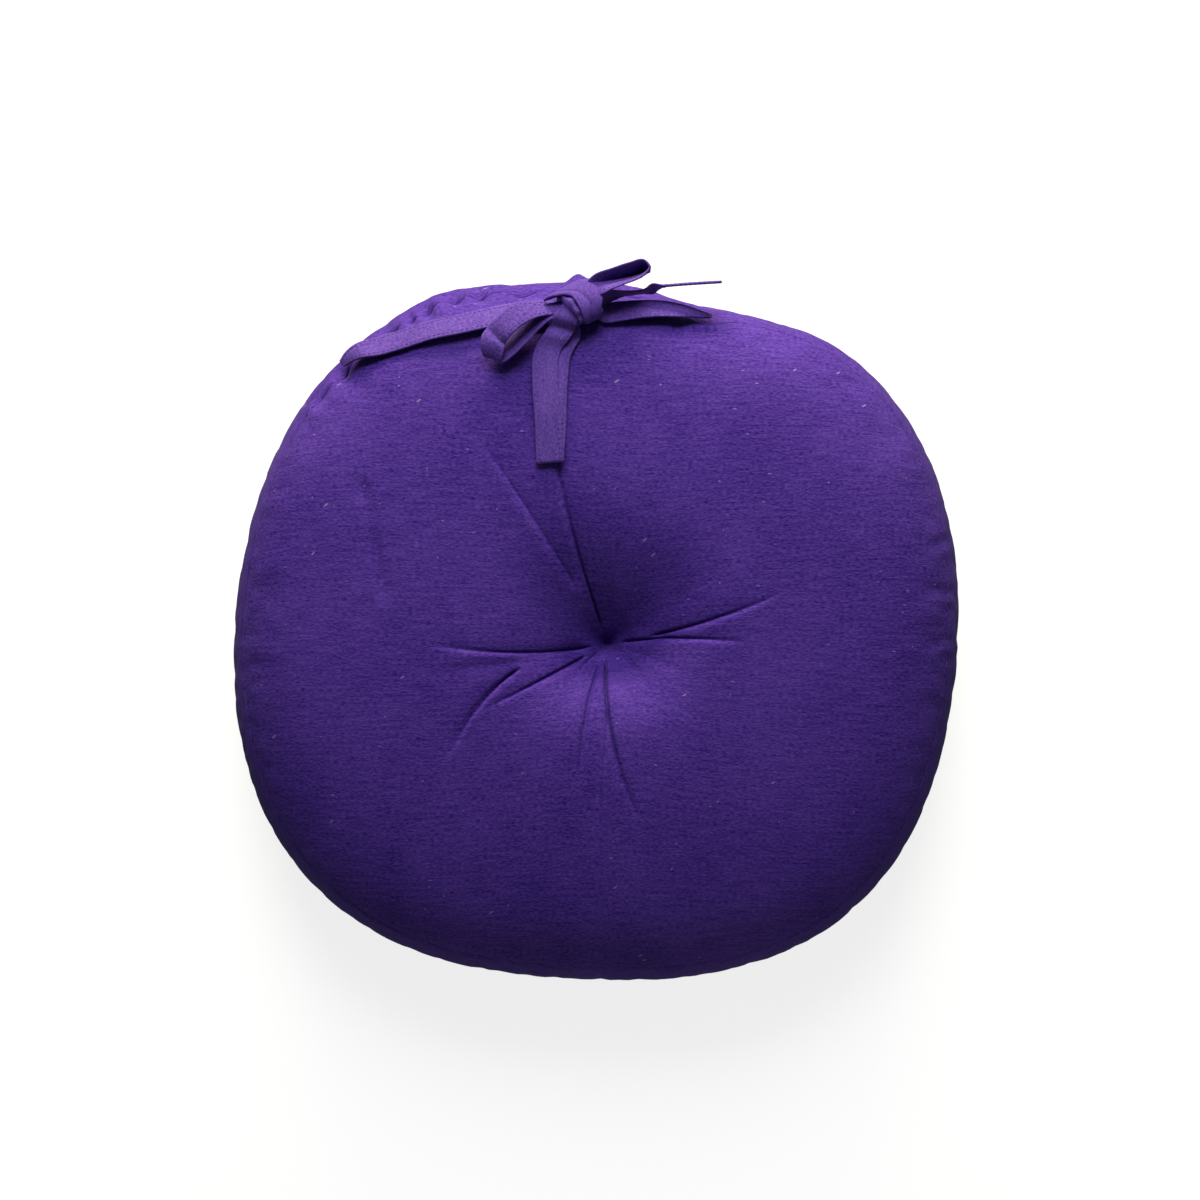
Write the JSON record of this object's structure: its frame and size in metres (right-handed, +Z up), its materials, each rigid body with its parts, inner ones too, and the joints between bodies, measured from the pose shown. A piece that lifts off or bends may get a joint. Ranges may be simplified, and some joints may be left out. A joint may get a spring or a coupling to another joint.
{
  "type": "chair pad",
  "caption": "Round filled cotton chair pad with a deep tuft, a boxed and seamed edge, and sewn-on ties knotted in a bow at the back.",
  "frame": {"origin": "middle of the pad's underside, on the surface it lies on", "axes": "+Z up through the tufted face, +Y towards the edge with the ties, +X to the right"},
  "size_m": [0.3999, 0.3882, 0.0854],
  "materials": {
    "cover_cotton": "matt plain-weave cotton",
    "tie_cotton": "matt plain-weave cotton, topstitched"
  },
  "bodies": {
    "root": {"pad": "cover_cotton", "tie_left": "tie_cotton", "tie_right": "tie_cotton"}
  },
  "joints": []
}
